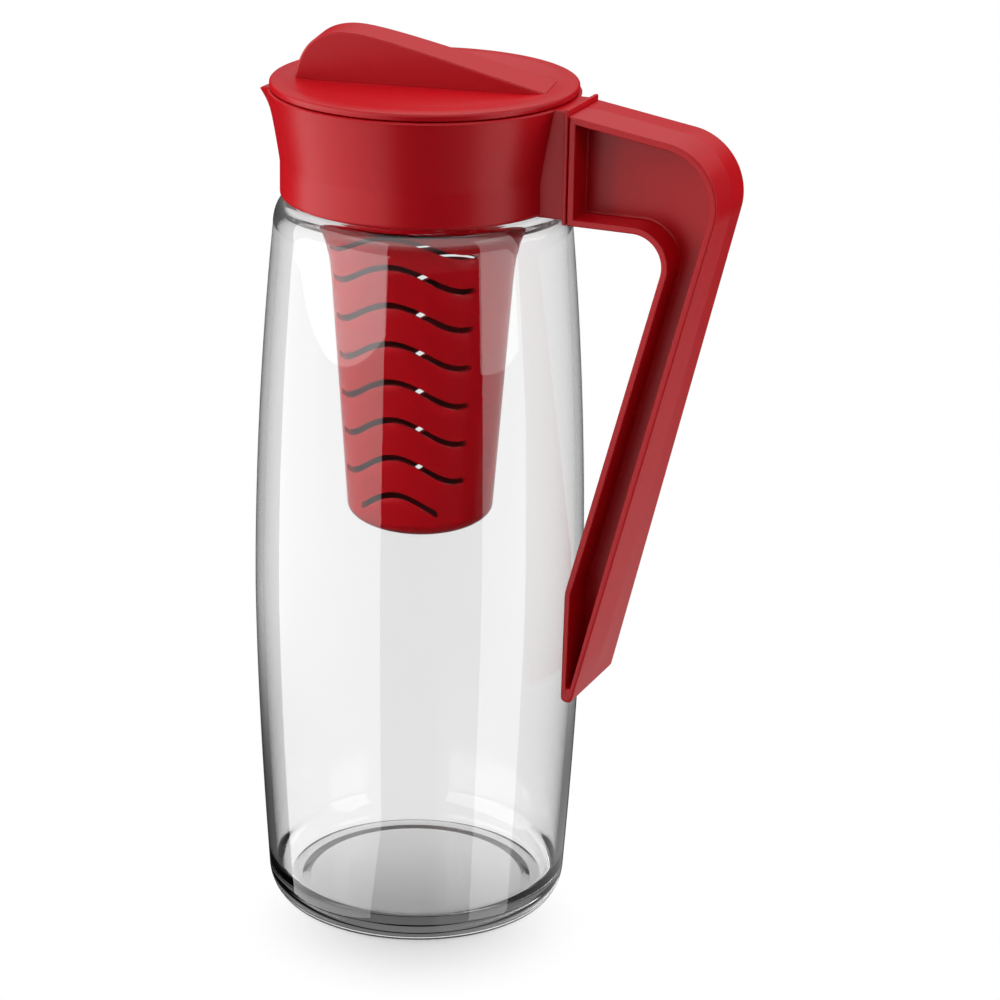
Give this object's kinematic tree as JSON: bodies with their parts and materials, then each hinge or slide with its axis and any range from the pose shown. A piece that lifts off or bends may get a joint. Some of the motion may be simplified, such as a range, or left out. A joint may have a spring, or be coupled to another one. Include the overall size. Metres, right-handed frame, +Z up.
{
  "type": "glass carafe",
  "caption": "Bulged glass carafe with a red flared collar and spout, flanged side handle, turning lid with a wedge grip, and a slotted infuser hanging from the lid.",
  "frame": {"origin": "on the glass's axis, at its underside", "axes": "+Z up along the glass's axis, +X towards the handle, -X towards the spout"},
  "size_m": [0.1637, 0.1092, 0.2964],
  "materials": {
    "clear_glass": "clear polished",
    "red_plastic": "satin gloss",
    "basket_plastic": "gloss",
    "soft_ring": "soft matte"
  },
  "bodies": {
    "jug": {"glass_body": "clear_glass", "collar": "red_plastic", "collar_gasket": "soft_ring", "handle": "red_plastic"},
    "seal": {"lid_seal": "soft_ring"},
    "lid": {"lid_cap": "red_plastic", "lid_plug": "red_plastic"},
    "infuser": {"infuser_basket": "basket_plastic"}
  },
  "joints": [
    {"name": "lid_lift", "type": "slide", "parent": "jug", "child": "seal", "axis": [0, 0, 1], "range_m": [0, 0.165]},
    {"name": "lid_turn", "type": "hinge", "parent": "seal", "child": "lid", "pos_m": [0, 0, 0.2586], "axis": [0, 0, 1], "continuous": true},
    {"name": "infuser_twist", "type": "hinge", "parent": "lid", "child": "infuser", "pos_m": [0, 0, 0.2506], "axis": [0, 0, 1], "range_deg": [-35, 0]}
  ]
}
